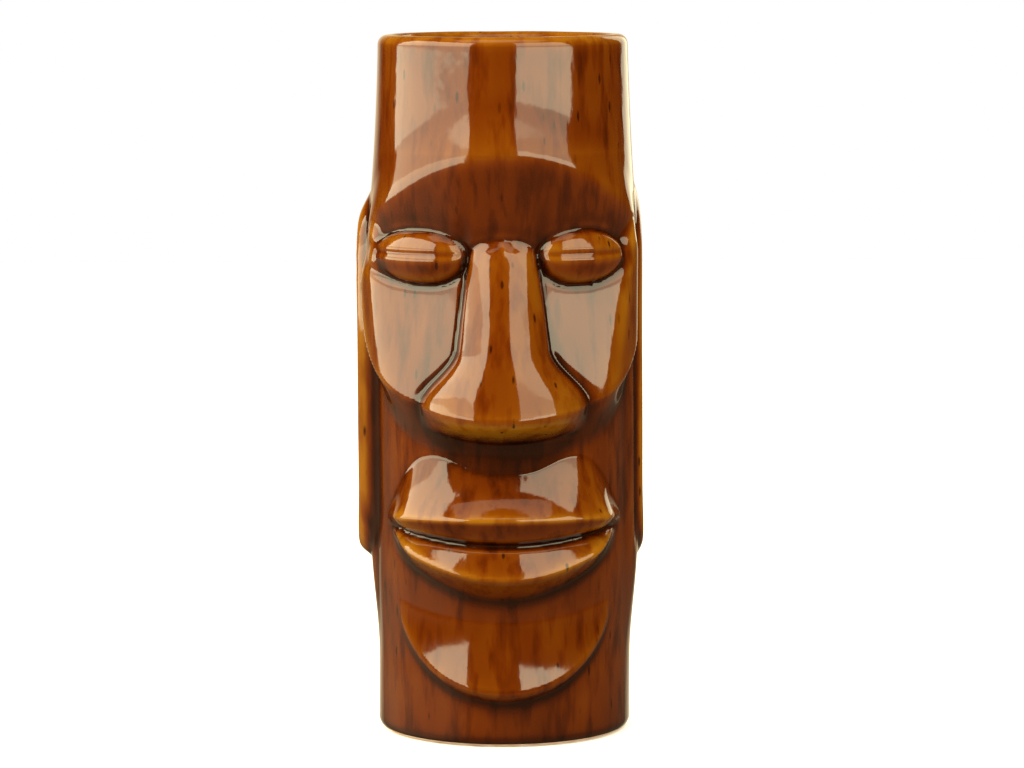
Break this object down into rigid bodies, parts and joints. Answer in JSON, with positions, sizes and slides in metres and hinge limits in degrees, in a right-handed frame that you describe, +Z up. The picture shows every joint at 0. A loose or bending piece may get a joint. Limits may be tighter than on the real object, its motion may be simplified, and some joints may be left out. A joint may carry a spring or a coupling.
{
  "type": "tiki mug",
  "caption": "Tall straight-sided ceramic tumbler with a carved mask in relief on its front, long flat ears, a rounded lip and a recessed foot, glazed brown inside and out.",
  "frame": {"origin": "centre of the object's box at the foot, on the surface that it stands on", "axes": "+Z up along the mug, -Y the way the face looks, +X to the right of someone who looks at the face"},
  "size_m": [0.0736, 0.0774, 0.179],
  "materials": {
    "earthenware": "unglazed fired earthenware, dry and matt, sponged at the foot ring",
    "brown_glaze": "glossy treacle-brown glaze that breaks amber over edges and pools dark in the hollows",
    "liner_glaze": "the same brown glaze poured inside, glossy and a little darker",
    "base_glaze": "wiped brown glaze in the recess under the floor"
  },
  "bodies": {
    "root": {"clay_body": "earthenware", "outer_glaze": "brown_glaze", "liner_glaze": "liner_glaze", "base_glaze": "base_glaze"}
  },
  "joints": []
}
